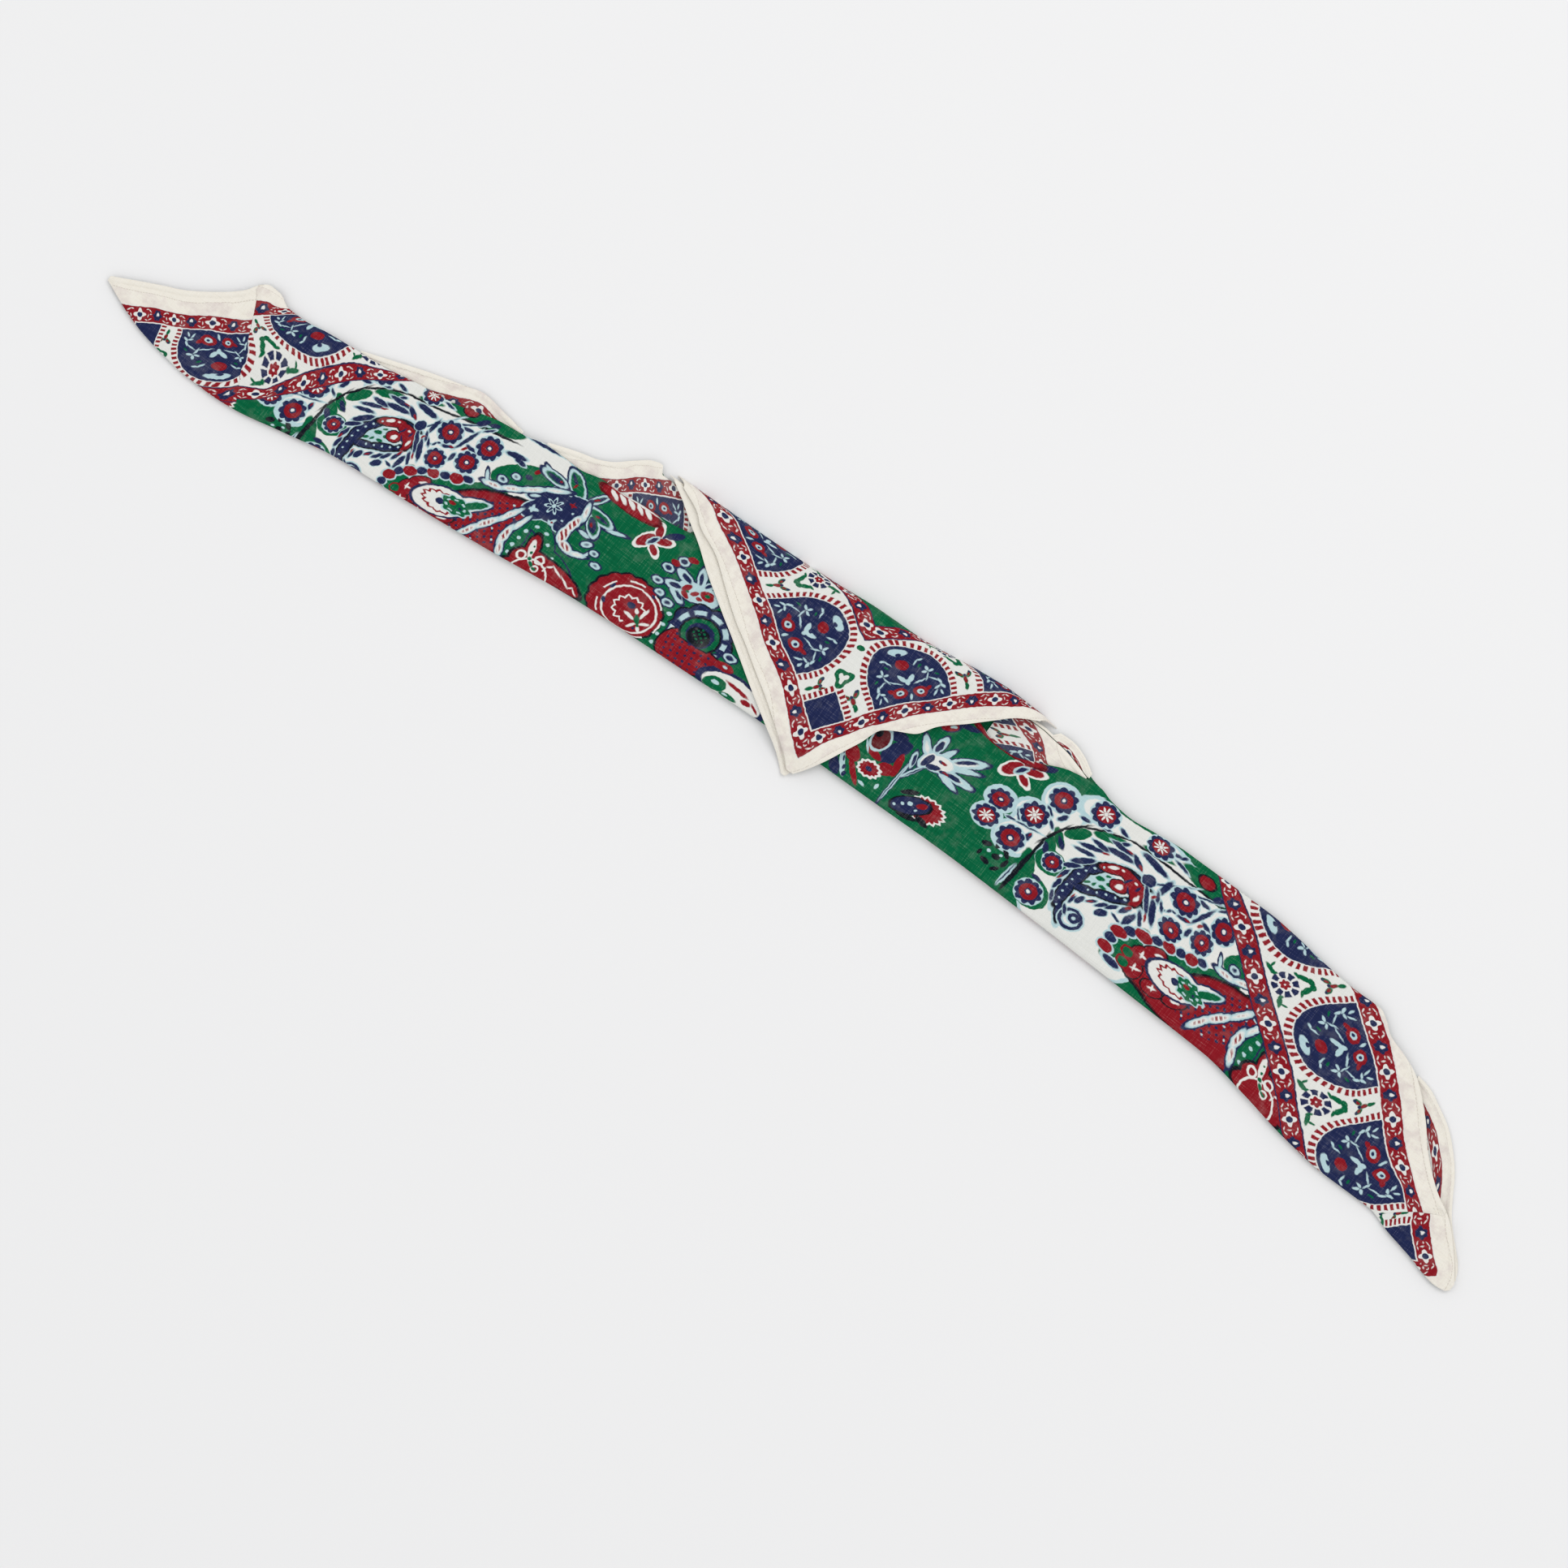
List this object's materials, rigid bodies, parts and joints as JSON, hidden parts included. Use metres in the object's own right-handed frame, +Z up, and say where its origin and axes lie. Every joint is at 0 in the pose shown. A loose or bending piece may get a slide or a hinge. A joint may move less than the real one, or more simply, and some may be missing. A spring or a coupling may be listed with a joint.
{
  "type": "folded neck scarf",
  "caption": "Square printed cotton neck scarf folded on the bias into a long flat band with a pointed flap over its middle.",
  "frame": {"origin": "middle of the underside of the whole scarf's box, on the surface it lies on", "axes": "+X along the chord from the left corner to the right corner, +Y from the near long edge to the far one, +Z up off the surface"},
  "size_m": [0.7632, 0.111, 0.0105],
  "materials": {
    "printed_cloth": "slubby cotton voile printed red, navy, green and light blue on white, right side",
    "border_cloth": "the same voile at its printed border, red bands and navy domes",
    "hem_cloth": "the same voile, unprinted cream margin with a rolled hem",
    "wrong_side_cloth": "wrong side of the printed voile, the print showing through paler",
    "hidden_cloth": "the folded layers seen at the edges and from below"
  },
  "bodies": {
    "root": {"folded_layers": "hidden_cloth", "left_corner": "border_cloth", "front_left": "printed_cloth", "front_right": "printed_cloth", "right_corner": "border_cloth", "flap_upper": "border_cloth", "flap_under": "wrong_side_cloth", "layer_left_window": "wrong_side_cloth", "layer_right_window": "wrong_side_cloth", "layer_right_corner": "hem_cloth", "hem_far_left": "hem_cloth", "hem_far_right": "hem_cloth"}
  },
  "joints": []
}
